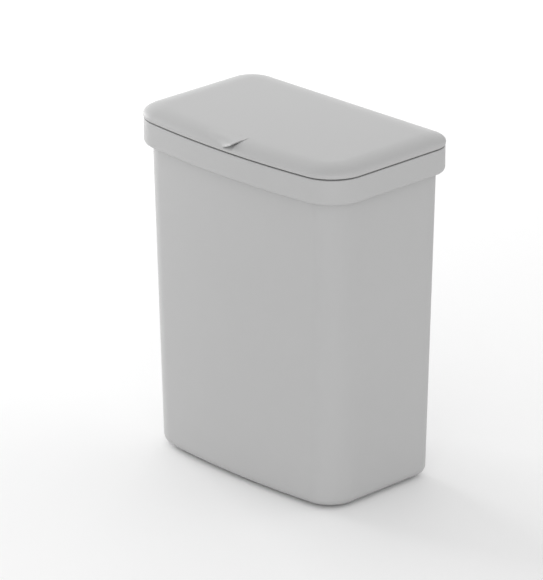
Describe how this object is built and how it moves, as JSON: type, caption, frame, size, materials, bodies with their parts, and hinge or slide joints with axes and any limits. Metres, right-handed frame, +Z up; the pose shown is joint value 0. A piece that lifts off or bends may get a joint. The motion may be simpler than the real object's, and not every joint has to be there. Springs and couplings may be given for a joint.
{
  "type": "kitchen bin",
  "caption": "Slim tapered kitchen bin with a bowed front, a lift-off top frame that hides the bag's edge and a rear-hinged pillow lid with a finger flap.",
  "frame": {"origin": "bottom centre of the closed bin's box, on the plane that the feet stand on", "axes": "+Z up; -Y out of the bowed front; +Y towards the hinges at the back; +X to the right, seen from the front"},
  "size_m": [0.25, 0.174, 0.315],
  "materials": {
    "bucket_plastic": "fine satin-moulded polypropylene, mid grey",
    "frame_plastic": "fine satin-moulded polypropylene, mid grey",
    "lid_plastic": "fine satin-moulded polypropylene, mid grey",
    "liner_plastic": "plain moulded polypropylene, grey",
    "seal_rubber": "soft dark grey elastomer",
    "foot_rubber": "soft dark grey elastomer",
    "pin_steel": "drawn stainless steel"
  },
  "bodies": {
    "bucket": {"bucket": "bucket_plastic", "foot_front_left": "foot_rubber", "foot_front_right": "foot_rubber", "foot_rear_left": "foot_rubber", "foot_rear_right": "foot_rubber"},
    "top_frame": {"top_frame": "frame_plastic", "hinge_pin_left": "pin_steel", "hinge_pin_right": "pin_steel"},
    "lid": {"lid_shell": "lid_plastic", "lid_liner": "liner_plastic", "lid_seal": "seal_rubber"}
  },
  "joints": [
    {"name": "frame_lift", "type": "slide", "parent": "bucket", "child": "top_frame", "axis": [0, 0, 1], "range_m": [0, 0.06]},
    {"name": "lid_hinge", "type": "hinge", "parent": "top_frame", "child": "lid", "pos_m": [0, 0.08, 0.2946], "axis": [-1, 0, 0], "range_deg": [0, 100]}
  ]
}
